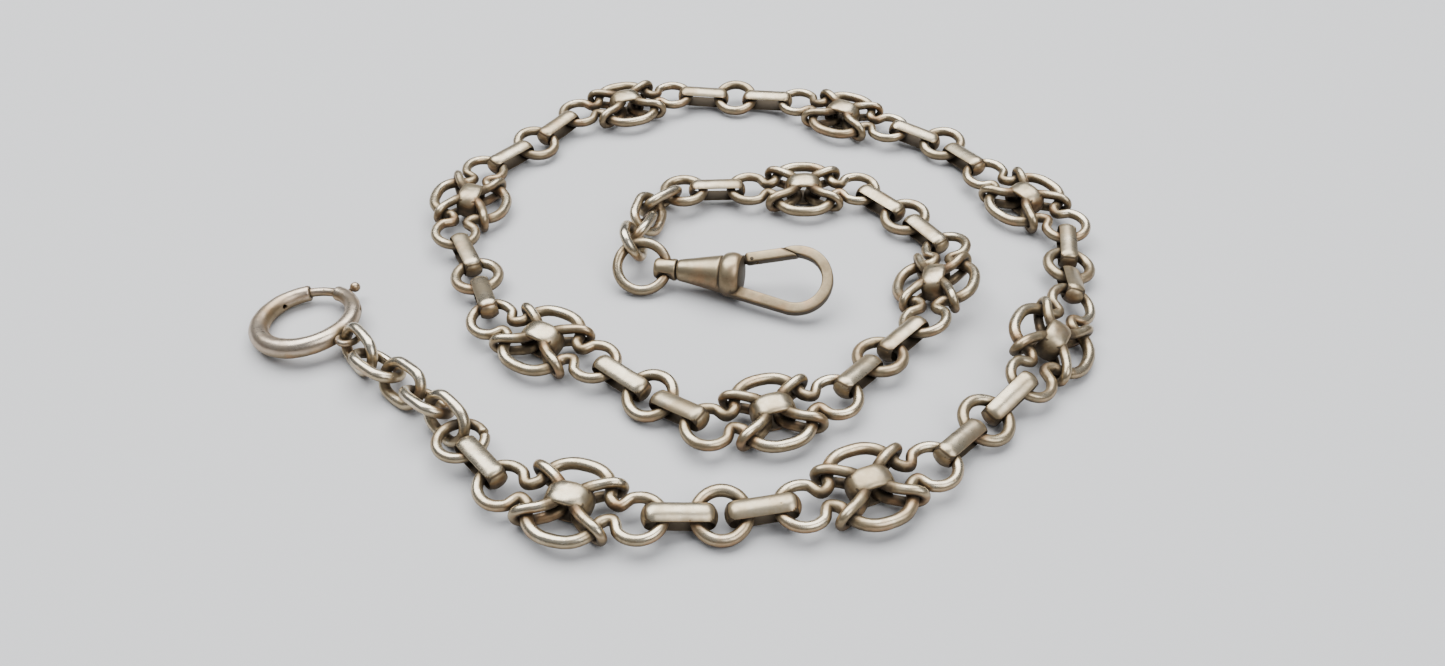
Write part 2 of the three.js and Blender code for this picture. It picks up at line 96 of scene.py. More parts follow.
# The roll of each ring, and the points and rolls of the plain links at both ends.
RING_ROLLS = (20, 16, 6, -12, -18, -14, 0, 20, -4, -10, 0)
END_RING_Z = 2.02
OUTER_RUN = [
    (-36.45, -14.3, 2.42),
    (-34.7, -16.4, 2.25),
    (-31.5, -18.9, 2),
    (-28.3, -21.7, 2),
    (-25, -24.85, 2.38),
    (-23.42, -26.46, END_RING_Z),
]
OUTER_ROLLS = (66, -30, 50, -38, 62)
INNER_RUN = [
    (-2.98, 14, END_RING_Z),
    (-4.9, 11.9, 2.32),
    (-5.7, 8.3, 2.1),
    (-6.65, 4.4, 2.9),
    (-6.74, 1.34, 3.94),
]
INNER_ROLLS = (56, -42, 50, -58)
RING_01_LAY = (3.9, -37.9)
JUMP_RING_LAY = (-22.3, -28.6, END_RING_Z)
BOLT_RING_LAY = (-43.1, -9.5, 1.62)
BOLT_RING_TILT = 6
CLIP_RING_LAY = (-5.5, -0.85, 2.4)
CLIP_RING_TILT = 35
CLIP_HOLD, CLIP_HEADING, CLIP_RISE, CLIP_ROLL = -6, -12.5, 3.6, 30
CAMERA_LAY, CAMERA_PITCH = (4, -107, 85.9), 48.5


def vec(x, y, z=0.0):
    return Vector((x, y, z))


def polar(radius, degrees, z=0.0):
    a = math.radians(degrees)
    return vec(radius * math.cos(a), radius * math.sin(a), z)


def middle_of(node):
    """The middle of a CAD node, in millimetres."""
    low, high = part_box(node)
    return Vector((low + high) / 2) / MM


# The lay's own origin, as the CAD has centred it on the whole chain.
SHIFT = middle_of("ring_01") - vec(*RING_01_LAY)
SHIFT.z = middle_of("jump_ring").z - END_RING_Z


def turn_along(direction, side):
    """The turn with x along a direction and y as near as it can be to a side."""
    x = Vector(direction).normalized()
    z = x.cross(Vector(side)).normalized()
    return Matrix((x, z.cross(x), z)).transposed().to_4x4()


def place(at, direction=(1, 0, 0), roll=0):
    """The frame of a link at a point: x along a direction, y level, then rolled about x."""
    turn = turn_along(direction, vec(0, 0, 1).cross(Vector(direction)))
    return Matrix.Translation(Vector(at)) @ turn @ Matrix.Rotation(math.radians(roll), 4, "X")


# ---------------------------------------------------------------- paths and sections
def spline(points, count, closed=True):
    """A centripetal curve through points, as count points an even distance apart."""
    p = np.array(points, float)
    n = len(p)
    fine = []
    for i in range(n if closed else n - 1):
        if closed:
            a, b, c, d = (p[(i + k) % n] for k in (-1, 0, 1, 2))
        else:
            b, c = p[i], p[i + 1]
            a = p[i - 1] if i else 2 * b - c
            d = p[i + 2] if i + 2 < n else 2 * c - b
        t = np.cumsum([0, *(max(np.linalg.norm(v), 1e-9) ** 0.5 for v in (b - a, c - b, d - c))])
        for u in np.linspace(t[1], t[2], 24, endpoint=False):
            spans = zip(t, t[1:], (a, b, c), (b, c, d))
            e = [((q - u) * v + (u - o) * w) / (q - o) for o, q, v, w in spans]
            f = [((t[k + 2] - u) * e[k] + (u - t[k]) * e[k + 1]) / (t[k + 2] - t[k]) for k in (0, 1)]
            fine.append(((t[2] - u) * f[0] + (u - t[1]) * f[1]) / (t[2] - t[1]))
    fine.append(fine[0] if closed else p[-1])
    fine = np.array(fine)
    length = np.concatenate([[0], np.cumsum(np.linalg.norm(np.diff(fine, axis=0), axis=1))])
    even = np.linspace(0, length[-1], count, endpoint=not closed)
    return np.stack([np.interp(even, length, fine[:, k]) for k in range(3)], 1)


def directions(path, closed):
    """The way along a path at each of its points."""
    if closed:
        t = np.roll(path, -1, 0) - np.roll(path, 1, 0)
    else:
        t = np.gradient(path, axis=0)
    return t / np.linalg.norm(t, axis=1)[:, None]


def tube(path, radius, sides=18, closed=True, reference=(0, 0, 1), flat=1.0):
    """Rings round a path. radius is a number or one for each point, and flat scales them along the reference."""
    t = directions(path, closed)
    ref = np.broadcast_to(np.array(reference, float), path.shape)
    up = ref - (ref * t).sum(1)[:, None] * t
    up /= np.linalg.norm(up, axis=1)[:, None]
    side = np.cross(t, up)
    a = np.linspace(0, 2 * math.pi, sides, endpoint=False)
    r = np.broadcast_to(np.array(radius, float), len(path))[:, None, None]
    across, high = np.cos(a)[None, :, None] * side[:, None], flat * np.sin(a)[None, :, None] * up[:, None]
    return path[:, None] + r * (across + high)


def rounded(points, corner, steps):
    """A closed outline with its corners rounded off."""
    out = []
    n = len(points)
    for i in range(n):
        a, b, c = (np.array(points[(i + k) % n], float) for k in (-1, 0, 1))
        start = b + (a - b) / np.linalg.norm(a - b) * corner
        end = b + (c - b) / np.linalg.norm(c - b) * corner
        for t in np.linspace(0, 1, steps):
            out.append((1 - t) ** 2 * start + 2 * t * (1 - t) * b + t**2 * end)
    return out


def band_rings(length, height, width, strip, crown):
    """A closed band of domed strip with eased edges, a stadium seen from the side."""
    half = width / 2
    section = [(x, strip * (1 - crown * abs(x / half) ** 2.1)) for x in np.linspace(-half * 0.94, half * 0.94, 13)]
    section += [(half, strip * 0.14), (half * 0.97, 0.01)]
    section += [(x, 0.0) for x in np.linspace(half * 0.85, -half * 0.85, 5)]
    section += [(-half * 0.97, 0.01), (-half, strip * 0.14)]
    inner = height / 2 - strip
    straight = length / 2 - height / 2
    stations = []
    for side, base in ((1, 0), (-1, 180)):
        stations += [(side * straight, math.radians(base + a)) for a in np.linspace(-90, 90, 21)]
        stations += [(side * straight * u, math.radians(base + 90)) for u in np.linspace(1, -1, 20)[1:-1]]
    return np.array(
        [
            [(x + (inner + o) * math.cos(b), across, (inner + o) * math.sin(b)) for across, o in section]
            for x, b in stations
        ]
    )


def collar_rings(length, height, width, strip):
    """A collar whose outline is a squarish oval from the side, domed across and rolled in at its edges."""
    section = [(u * width / 2, strip * (1 - 0.5 * abs(u) ** 3)) for u in np.linspace(-0.96, 0.96, 15)]
    section += [(width / 2, strip * 0.12), (width * 0.48, -0.03)]
    section += [(u * width / 2, -0.05) for u in np.linspace(0.8, -0.8, 5)]
    section += [(-width * 0.48, -0.03), (-width / 2, strip * 0.12)]
    a = np.linspace(0, 2 * math.pi, 72, endpoint=False)
    power = 2 / 2.55
    x = (length / 2 - strip) * np.sign(np.cos(a)) * np.abs(np.cos(a)) ** power
    z = (height / 2 - strip) * np.sign(np.sin(a)) * np.abs(np.sin(a)) ** power
    path = spline(np.stack([x, 0 * x, z], 1), 84)
    t = directions(path, True)
    out = np.cross((0, 1, 0), t)
    out *= np.sign((out * path).sum(1))[:, None]
    return np.array(
        [[p + n * up + np.array((0, across, 0)) for across, up in section] for p, n in zip(path, out)]
    )


def lathe_rings(profile, sides=48):
    """A profile of (distance along x, radius) turned about x."""
    a = np.linspace(0, 2 * math.pi, sides, endpoint=False)
    return np.array([[(x, r * math.cos(b), r * math.sin(b)) for b in a] for x, r in profile])


# ---------------------------------------------------------------- meshes
def make(name, rings, closed=True):
    """A mesh through rings of points, its faces outwards. An open row of rings gets a cap at each end."""
    n, m, _ = rings.shape
    points = rings.reshape(-1, 3)
    faces = []
    for i in range(n if closed else n - 1):
        for k in range(m):
            a, b = i * m + k, i * m + (k + 1) % m
            c, d = ((i + 1) % n) * m + (k + 1) % m, ((i + 1) % n) * m + k
            faces.append((a, b, c, d))
    if not closed:
        for end, ring in ((0, rings[0]), (1, rings[-1])):
            at = len(points)
            points = np.vstack([points, ring.mean(0)])
            for k in range(m):
                a, b = (n - 1) * m * end + k, (n - 1) * m * end + (k + 1) % m
                faces.append((b, a, at) if end == 0 else (a, b, at))
    volume = 0.0
    for f in faces:
        for k in range(1, len(f) - 1):
            volume += np.dot(points[f[0]], np.cross(points[f[k]], points[f[k + 1]]))
    if volume < 0:
        faces = [f[::-1] for f in faces]
    mesh = bpy.data.meshes.new(name)
    mesh.from_pydata(points.tolist(), [], faces)
    mesh.update()
    return mesh


def cut_by(mesh, *cutters):
    """mesh with cutters taken out of it."""
    body = bpy.data.objects.new("cut_body", mesh)
    bpy.context.scene.collection.objects.link(body)
    tools = []
    for cutter in cutters:
        tool = bpy.data.objects.new("cut_tool", cutter)
        bpy.context.scene.collection.objects.link(tool)
        modifier = body.modifiers.new("cut", "BOOLEAN")
        modifier.operation, modifier.solver, modifier.object = "DIFFERENCE", "EXACT", tool
        tools.append(tool)
    bpy.context.view_layer.update()
    result = bpy.data.meshes.new_from_object(body.evaluated_get(bpy.context.evaluated_depsgraph_get()))
    for used in (body, *tools):
        bpy.data.objects.remove(used)
    return result


def unevenness(p):
    """How far old metal stands out of true at a point, as a share of its piece's unevenness."""
    return noise.noise(p * 0.55) * 1.6 + noise.noise(p * 1.7 + Vector((9, 4, 2))) * 0.7


def piece(
    name, mesh, frame_of, body, material, slot, nodes, contacts=(), reach=0.9, under=0.8, uneven=0.012, hidden=None
):
    """Puts a mesh in its place, with small unevenness, a value for grime and painted shade at each point, and a ride
    on its body.

    Painted shade, along with tarnish, darkens its sides and undersides, the places within reach of its contacts, and
    where hidden() says, which takes the mesh's own points.
    """
    mesh = mesh.copy()
    mesh.name = name
    local = np.empty(len(mesh.vertices) * 3)
    mesh.vertices.foreach_get("co", local)
    local = local.reshape(-1, 3)
    m = np.array(frame_of)
    world = local @ m[:3, :3].T + m[:3, 3]
    normals = np.array([v.vector[:] for v in mesh.vertex_normals]) @ m[:3, :3].T
    if uneven:
        for i, w in enumerate(world):
            world[i] = w + normals[i] * uneven * unevenness(Vector(w))
    # Painted shade on sides and undersides, stronger the more a point faces down, along with tarnish where rubbing
    # doesn't reach.
    grime_and_shade = under * np.clip((0.85 - normals[:, 2]) / 1.3, 0, 1) ** 1.2
    # Painted shade round each contact between parts, along with tarnish at the joints.
    for contact in contacts:
        away = np.linalg.norm(world - np.array(contact), axis=1)
        grime_and_shade = np.maximum(grime_and_shade, np.exp(-((away / reach) ** 2)))
    if hidden is not None:
        grime_and_shade = np.maximum(grime_and_shade, hidden(local))
    mesh.vertices.foreach_set("co", (world * MM).ravel())
    layer = mesh.attributes.new("grime_and_shade", "FLOAT", "POINT")
    layer.data.foreach_set("value", np.clip(grime_and_shade, 0, 1).astype(np.float32))
    mesh.polygons.foreach_set("use_smooth", [True] * len(mesh.polygons))
    mesh.update()
    mesh.materials.clear()
    mesh.materials.append(material)
    obj = bpy.data.objects.new(name, mesh)
    bpy.context.scene.collection.objects.link(obj)
    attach(obj, body)
    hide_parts(*nodes)


# Rays of this reach leave each point from a little above it, at more than this slant. The share that meets metal
# turns into painted shade (ambient occlusion), along with tarnish, from a start, over a span, up to a most, and adds a
# little to the grime and shade that is there already.
HOLLOW_REACH, HOLLOW_RAYS, HOLLOW_SLANT, HOLLOW_LIFT = 2.3, 16, 0.15, 0.04
HOLLOW_START, HOLLOW_SPAN, HOLLOW_SHADE_AND_GRIME, HOLLOW_EXTRA = 0.08, 0.55, 0.84, 0.25


def even_directions(count):
    """Directions spread evenly over a sphere."""
    turn = np.arange(count) * math.pi * (3 - math.sqrt(5))
    z = 1 - (2 * np.arange(count) + 1) / count
    flat = np.sqrt(1 - z * z)
    return np.stack([flat * np.cos(turn), flat * np.sin(turn), z], 1)


def smoothed(values, mesh):
    """The values of a mesh's points, averaged twice with their neighbours'."""
    ends = np.empty(len(mesh.edges) * 2, int)
    mesh.edges.foreach_get("vertices", ends)
    a, b = ends.reshape(-1, 2).T
    for _ in range(2):
        total, number = values.copy(), np.ones(len(values))
        for p, q in ((a, b), (b, a)):
            np.add.at(total, p, values[q])
            np.add.at(number, p, 1)
        values = total / number
    return values


def darken_hollows():
    """Adds painted shade (ambient occlusion), along with tarnish, wherever other metal is close over a point, as a
    polishing cloth doesn't reach it.
    """
    pieces = [o for o in bpy.data.objects if o.type == "MESH" and "grime_and_shade" in o.data.attributes]
    corners, faces, held = [], [], []
    for obj in pieces:
        co, normals = np.empty(len(obj.data.vertices) * 3), np.empty(len(obj.data.vertices) * 3)
        obj.data.vertices.foreach_get("co", co)
        obj.data.vertex_normals.foreach_get("vector", normals)
        held.append((co.reshape(-1, 3) / MM, normals.reshape(-1, 3)))
        base = len(corners)
        corners.extend(held[-1][0].tolist())
        faces.extend([[base + v for v in face.vertices] for face in obj.data.polygons])
    tree = BVHTree.FromPolygons(corners, faces)
    rays = even_directions(HOLLOW_RAYS)
    vectors = [Vector(r) for r in rays]
    for obj, (co, normals) in zip(pieces, held):
        facing = normals @ rays.T
        met = np.zeros(facing.shape)
        starts = co + normals * HOLLOW_LIFT
        for i, k in zip(*np.nonzero(facing > HOLLOW_SLANT)):
            if tree.ray_cast(starts[i], vectors[k], HOLLOW_REACH)[0] is not None:
                met[i, k] = 1
        weight = np.where(facing > HOLLOW_SLANT, facing, 0)
        share = smoothed((met * weight).sum(1) / weight.sum(1), obj.data)
        layer = obj.data.attributes["grime_and_shade"].data
        grime_and_shade = np.empty(len(co), np.float32)
        layer.foreach_get("value", grime_and_shade)
        # Painted shade (ambient occlusion) from the share of rays that meet metal, along with tarnish.
        hollow = HOLLOW_SHADE_AND_GRIME * np.clip((share - HOLLOW_START) / HOLLOW_SPAN, 0, 1)
        both = np.maximum(grime_and_shade, hollow) + HOLLOW_EXTRA * np.minimum(grime_and_shade, hollow)
        layer.foreach_set("value", np.clip(both, 0, 1).astype(np.float32))


# ---------------------------------------------------------------- material
# Tarnish runs in ramps from bright metal to grime and painted shade. Most of it is grey-brown, and some of it is
# coppery.
RAMP_STOPS = (0.28, 0.52, 0.76)
GRIME_AND_SHADE_COLOUR = (0.07, 0.053, 0.034)
PLAIN_TONES = [(0.235, 0.177, 0.105), (0.11, 0.08, 0.047)]
COPPERY_TONES = [(0.46, 0.34, 0.21), (0.29, 0.185, 0.1), (0.125, 0.077, 0.042)]
# What grime with painted shade and two of the textures add to the tarnish; the pits; and the scratches, which are
# stretched noise.
GRIME_AND_SHADE_SHARE, MOTTLE_SHARE, HAZE_SHARE = 0.95, 0.2, 0.35
PIT_SIZE, PIT_RARITY, PIT_GRIME, PIT_DEPTH = 0.16, 0.6, 0.75, 0.8
SCRATCH_TURNS = [(0.3, 0.2, 0.5), (1.1, 0.4, 2.0), (0.2, 1.3, 1.1)]
SCRATCH_STRETCH = (1, 14, 14)


def silver(name, bright, warm, tarnish, rough, patchiness, brush=0.0):
    """Old silver: bright where it's rubbed, warm where it has dulled, and dark where grime has gathered and where
    shade is painted.
    """
    material = bpy.data.materials.new(name)
    material.use_nodes = True
    nodes, links = material.node_tree.nodes, material.node_tree.links
    shader = nodes["Principled BSDF"]

    def node(kind, **values):
        made = nodes.new("ShaderNode" + kind)
        for key, value in values.items():
            if key in made.inputs:
                made.inputs[key].default_value = value
            else:
                setattr(made, key, value)
        return made

    def maths(operation, a, b=0.0, clamp=False):
        made = node("Math", operation=operation, use_clamp=clamp)
        for socket, value in zip(made.inputs, (a, b)):
            if isinstance(value, (int, float)):
                socket.default_value = value
            else:
                links.new(value, socket)
        return made.outputs[0]

    def vary(base, by, amount, clamp=False):
        """base, moved up and down by a texture."""
        return maths("ADD", base, maths("MULTIPLY", maths("SUBTRACT", by, 0.5), amount), clamp)

    where = node("TexCoord").outputs["Object"]

    def texture(kind, scale, output, **values):
        made = node(kind, Scale=scale, **values)
        links.new(where, made.inputs["Vector"])
        return made.outputs[output]

    patches = texture("TexNoise", 260, "Fac", Detail=5, Roughness=0.62)
    mottle = texture("TexNoise", 1900, "Fac", Detail=4, Roughness=0.6)
    haze = texture("TexNoise", 70, "Fac", Detail=2)
    cells = texture("TexVoronoi", 900, "Distance")
    # Each point's grime together with its painted shade.
    grime_and_shade = node("Attribute", attribute_name="grime_and_shade").outputs["Fac"]

    # How dark it is: its grime and painted shade, broken up by patches, by mottling and by rare pits.
    dark = vary(maths("MULTIPLY", grime_and_shade, GRIME_AND_SHADE_SHARE), patches, patchiness)
    dark = vary(dark, mottle, MOTTLE_SHARE)
    dark = vary(dark, haze, HAZE_SHARE)
    dark = maths("ADD", dark, tarnish, clamp=True)
    rare = maths("GREATER_THAN", texture("TexNoise", 430, "Fac", Detail=1), PIT_RARITY)
    pit = maths("SUBTRACT", 1.0, maths("DIVIDE", cells, PIT_SIZE), clamp=True)
    pit = maths("MULTIPLY", pit, rare)
    dark = maths("MAXIMUM", dark, maths("MULTIPLY", pit, PIT_GRIME))

    def ramp_of(*colours):
        made = node("ValToRGB")
        made.color_ramp.interpolation = "EASE"
        stops = made.color_ramp.elements
        stops[0].position, stops[0].color = 0.0, (*colours[0], 1)
        stops[1].position, stops[1].color = 1.0, (*GRIME_AND_SHADE_COLOUR, 1)
        for position, colour in zip(RAMP_STOPS, colours[1:]):
            stops.new(position).color = (*colour, 1)
        links.new(dark, made.inputs["Fac"])
        return made.outputs["Color"]

    spots = maths("SUBTRACT", texture("TexNoise", 330, "Fac", Detail=2), 0.5)
    mixed = node("Mix", data_type="RGBA")
    links.new(maths("DIVIDE", spots, 0.12, clamp=True), mixed.inputs[0])
    links.new(ramp_of(bright, warm, *PLAIN_TONES), mixed.inputs[6])
    links.new(ramp_of(bright, *COPPERY_TONES), mixed.inputs[7])
    links.new(mixed.outputs[2], shader.inputs["Base Color"])

    lines = []
    for turn in SCRATCH_TURNS:
        mapping = node("Mapping", Rotation=turn, Scale=SCRATCH_STRETCH)
        links.new(where, mapping.inputs["Vector"])
        fine = node("TexNoise", Scale=420, Detail=3, Roughness=0.7)
        links.new(mapping.outputs["Vector"], fine.inputs["Vector"])
        lines.append(fine.outputs["Fac"])
    scratches = maths("DIVIDE", maths("ADD", maths("ADD", lines[0], lines[1]), lines[2]), 3.0)

    roughness = maths("ADD", rough, maths("MULTIPLY", dark, 0.38))
    roughness = vary(roughness, scratches, 0.3 + brush)
    roughness = vary(roughness, haze, 0.12, clamp=True)
    links.new(roughness, shader.inputs["Roughness"])
    links.new(maths("SUBTRACT", 1.0, maths("MULTIPLY", dark, 0.45)), shader.inputs["Metallic"])

    # A soft, hammered unevenness under the mottling and the scratches.
    height = maths("MULTIPLY", texture("TexNoise", 620, "Fac", Detail=2), 0.8)
    height = maths("ADD", height, maths("MULTIPLY", mottle, 0.16))
    height = maths("ADD", height, maths("MULTIPLY", scratches, 0.1 + brush))
    height = maths("SUBTRACT", height, maths("MULTIPLY", pit, PIT_DEPTH))
    bump = node("Bump", Strength=0.28, Distance=0.00005)
    links.new(height, bump.inputs["Height"])
    links.new(bump.outputs["Normal"], shader.inputs["Normal"])
    return material


WARM = (0.43, 0.345, 0.222)
FANCY_SILVER = silver("fancy_link_old_silver", (0.76, 0.68, 0.52), WARM, 0.12, 0.22, 0.8)
PLAIN_SILVER = silver("ring_old_silver", (0.7, 0.62, 0.475), WARM, 0.16, 0.225, 0.8)
BARREL_SILVER = silver("barrel_old_silver", (0.62, 0.55, 0.42), WARM, 0.13, 0.26, 0.65, brush=0.04)
CABLE_SILVER = silver("cable_link_silver", (0.78, 0.71, 0.57), WARM, 0.06, 0.22, 0.6)
CLIP_SILVER = silver("clip_polished_silver", (0.58, 0.51, 0.375), (0.42, 0.34, 0.22), 0.2, 0.26, 0.5)
BOLT_SILVER = silver("bolt_ring_silver", (0.72, 0.628, 0.515), (0.47, 0.37, 0.278), 0.12, 0.25, 0.5)


# ---------------------------------------------------------------- the links' meshes, once each
def fancy_outline():
    """The frame's middle line: round an eye, in at the neck and over the oval, mirrored both ways."""
    quarter = [polar(EYE_RADIUS, EYE_TURN * i / 10) + vec(EYE_X, 0) for i in range(11)]
    quarter.append(vec(*NECK))
    share = 2 / OVAL["power"]
    for i in range(9):
        a = math.radians(OVAL["start"] + (90 - OVAL["start"]) * i / 8)
        quarter.append(vec(OVAL["x"] * max(math.cos(a), 0) ** share, OVAL["y"] * math.sin(a) ** share))

    def flipped(sx, sy):
        return [vec(p.x * sx, p.y * sy) for p in quarter]

    return [*flipped(1, 1), *flipped(-1, 1)[::-1][1:], *flipped(-1, -1)[1:], *flipped(1, -1)[::-1][1:-1]]


def loop_rings(side):
    """A long loop hooked over the frame: its wire is fuller in the middle and draws out thin at its tips."""
    height, end = LOOP["height"], LOOP["end"]

    def plan(s):
        return vec(side * (LOOP["apex"] + LOOP["reach"] * s * s), LOOP["spread"] * s)

    def bend(s, degrees):
        along = vec(side * 2 * LOOP["reach"] * s, LOOP["spread"]).normalized() * math.copysign(1, s)
        a = math.radians(degrees)
        return plan(s) + along * height * math.cos(a) + vec(0, 0, height * math.sin(a))

    points = []
    for i in range(9):
        s = -end + 2 * end * i / 8
        points.append(plan(s) + vec(0, 0, height * (1.0 + 0.03 * (s / end) ** 2)))
    points += [bend(end, a) for a in (45, 0, -45)]
    points += [plan(end - 2 * end * i / 8) - vec(0, 0, height) for i in range(9)]
    points += [bend(-end, a) for a in (-45, 0, 45)]
    path = spline(points, 150)
    across = [(LOOP["spread"], -side * 2 * LOOP["reach"] * (p[1] / LOOP["spread"]), 0) for p in path]
    towards_tip = np.clip((np.abs(path[:, 1]) - 1.2) / 2.4, 0, 1)
    radius = LOOP["wire"] / 2 * (1.04 - 0.2 * towards_tip**1.5)
    return tube(path, radius, 16, True, np.array(across), flat=LOOP["wider"])


def frame_rings():
    """The fancy link's wire frame, drawn a little thinner round its eyes."""
    path = spline(fancy_outline(), 300)
    towards_eye = np.clip((np.abs(path[:, 0]) - 3.2) / 1.2, 0, 1)
    return tube(path, WIRE / 2 * (FRAME_FULLNESS - FRAME_DRAWN_OUT * towards_eye))


def ring_mesh(radius, wire):
    path = np.array([polar(radius, a) for a in np.linspace(0, 360, 110, endpoint=False)])
    return make("ring", tube(path, wire / 2))


def cable_mesh():
    radius, straight = (CABLE["width"] - CABLE["wire"]) / 2, (CABLE["length"] - CABLE["width"]) / 2
    points = [polar(radius, a) + vec(straight, 0) for a in range(-90, 91, 22)]
    points += [polar(radius, a) - vec(straight, 0) for a in range(90, 271, 22)]
    return make("cable", tube(spline(points, 110), CABLE["wire"] / 2))


def jump_mesh():
    """A jump ring, whose cut ends lie a step apart in height and are a little thinner."""
    start = JUMP["gap_at"] + JUMP["gap"] / 2
    end = start + 360 - JUMP["gap"]
    turns = np.linspace(start, end, 110)
    path = np.array(
        [polar(JUMP["radius"], a, JUMP["step"] * (a - start) / (end - start) - JUMP["step"] / 2) for a in turns]
    )
    radius = np.full(len(turns), JUMP["wire"] / 2)
    radius[[0, -1]] *= 0.86
    return make("jump_ring", tube(path, radius, closed=False), closed=False)


frame_mesh = make("fancy_frame", frame_rings())
loop_meshes = {side: make("fancy_loop", loop_rings(side)) for side in (1, -1)}
collar_mesh = make("fancy_collar", collar_rings(**COLLAR))
barrel_mesh = make("barrel", band_rings(**BARREL))
round_mesh = ring_mesh(RING_RADIUS, WIRE)
link_mesh = cable_mesh()

# ---------------------------------------------------------------- the chain's middle
fancies = []
for i, (heading, roll) in enumerate(FANCY_LAY):
    fancies.append(place(middle_of(f"fancy_link_{i + 1:02d}"), polar(1, heading), roll))
ring_places = []
for i, roll in enumerate(RING_ROLLS):
    at = middle_of(f"ring_{i + 1:02d}")
    onward = fancies[i + 1] @ vec(-EYE_X, 0) if i + 1 < len(fancies) else at
    line = onward - fancies[i] @ vec(EYE_X, 0)
    ring_places.append(place(at, vec(line.x, line.y), roll))
jump_place = place(vec(*JUMP_RING_LAY) + SHIFT)


def nearest_on_wire(frame_of, middle, radius, outside):
    """Where a round of wire is nearest to a point outside it, the way out of it there, and its own up."""
    up = (frame_of.to_3x3() @ vec(0, 0, 1)).normalized()
    out = outside - middle
    out = (out - up * out.dot(up)).normalized()
    return middle + out * radius, out, up


# A barrel joins each eye of a fancy link to the ring beyond it.
barrels = []
touching = {}
for i, fancy in enumerate(fancies):
    before = (ring_places[i - 1], RING_RADIUS, f"ring_{i:02d}") if i else (jump_place, JUMP["radius"], "jump_ring")
    after = (ring_places[i], RING_RADIUS, f"ring_{i + 1:02d}")
    for side, (ring, radius, label) in ((-1, before), (1, after)):
        eye, middle = fancy @ vec(side * EYE_X, 0), ring.to_translation()
        on_eye, eye_out, eye_up = nearest_on_wire(fancy, eye, EYE_RADIUS, middle)
        on_ring, ring_out, ring_up = nearest_on_wire(ring, middle, radius, eye)
        turn = turn_along(on_ring - on_eye, eye_up.cross(eye_out) + ring_out.cross(ring_up))
        barrels.append(Matrix.Translation((on_eye + on_ring) / 2) @ turn)
        touching.setdefault(f"fancy_link_{i + 1:02d}", []).append(on_eye)
        touching.setdefault(label, []).append(on_ring)


def on_inner_face(p, band):
    """Which of a mesh's own points are on the inner face of a barrel or a collar."""
    low = np.abs(p[:, 2]) < band["height"] / 2 - band["strip"] + 0.05
    return low * (np.abs(p[:, 0]) < band["length"] / 2 - band["strip"] + 0.03)


def collar_hidden(p):
    # Painted shade on the collar's inner face, along with tarnish there.
    return 0.95 * on_inner_face(p, COLLAR)


def barrel_hidden(p):
    """Painted shade inside a barrel, along with tarnish there, and a little darkening on its round ends."""
    round_end = np.clip((np.abs(p[:, 0]) - BARREL["length"] / 2 + 0.7) / 0.7, 0, 1)
    return np.maximum(0.9 * on_inner_face(p, BARREL), 0.3 * round_end**1.5)


def loop_hidden(p):
    """Painted shade on the lower half of a loop."""
    return 0.6 * np.clip(-p[:, 2], 0, 1)


for i, at in enumerate(fancies):
    name = f"fancy_link_{i + 1:02d}"
    near_loops = [at @ vec(sx * 3.55, sy * 2.7) for sx in (1, -1) for sy in (1, -1)]
    necks = [at @ vec(sx * NECK[0], 0) for sx in (1, -1)]
    common = dict(frame_of=at, body=name, slot="fancy_link_silver", nodes=[name])
    contacts = [*touching[name], *near_loops, *necks]
    piece(
        f"{name}_frame", frame_mesh, material=FANCY_SILVER, contacts=contacts, reach=1.0, uneven=0.016, **common
    )
    for side, label in ((1, "inner"), (-1, "outer")):
        corners = [at @ vec(side * 1.2, sy * 1.3, z) for sy in (1, -1) for z in (LOOP["height"], -LOOP["height"])]
        straddle = [at @ vec(side * 3.4, sy * 2.7) for sy in (1, -1)]
        piece(
            f"{name}_loop_{label}", loop_meshes[side], material=FANCY_SILVER, contacts=[*corners, *straddle],
            reach=0.75, uneven=0.02, hidden=loop_hidden, **common,
        )
    piece(f"{name}_collar", collar_mesh, material=BARREL_SILVER, hidden=collar_hidden, uneven=0.03, **common)

for i, at in enumerate(ring_places):
    name = f"ring_{i + 1:02d}"
    contacts = list(touching[name])
    if i == len(ring_places) - 1:
        contacts.append(Vector(INNER_RUN[0]) + SHIFT)
    piece(
        name + "_wire", round_mesh, at, name, PLAIN_SILVER, "plain_silver", [name], contacts, reach=1.0, uneven=0.014
    )

for i, at in enumerate(barrels):
    name = f"barrel_{i + 1:02d}"
    piece(
        name + "_strip", barrel_mesh, at, name, BARREL_SILVER, "barrel_silver", [name], hidden=barrel_hidden,
        uneven=0.014,
    )

# ---------------------------------------------------------------- the plain links at both ends
piece(
    "jump_ring_wire", jump_mesh(), jump_place, "jump_ring", PLAIN_SILVER, "plain_silver", ["jump_ring"],
    [*touching["jump_ring"], Vector(OUTER_RUN[-1]) + SHIFT], uneven=0.015,
)


def run(label, points, rolls):
    """A run of cable links, each from one point to the next with its own roll."""
    for i, roll in enumerate(rolls):
        a, b = Vector(points[i]), Vector(points[i + 1])
        name = f"{label}_{i + 1}"
        piece(
            name + "_wire", link_mesh, place((a + b) / 2 + SHIFT, b - a, roll), name, CABLE_SILVER, "plain_silver",
            [name], [a + SHIFT, b + SHIFT], reach=0.9, under=0.5, uneven=0.016,
        )


run("cable_link", OUTER_RUN, OUTER_ROLLS)
run("clip_link", INNER_RUN, INNER_ROLLS)

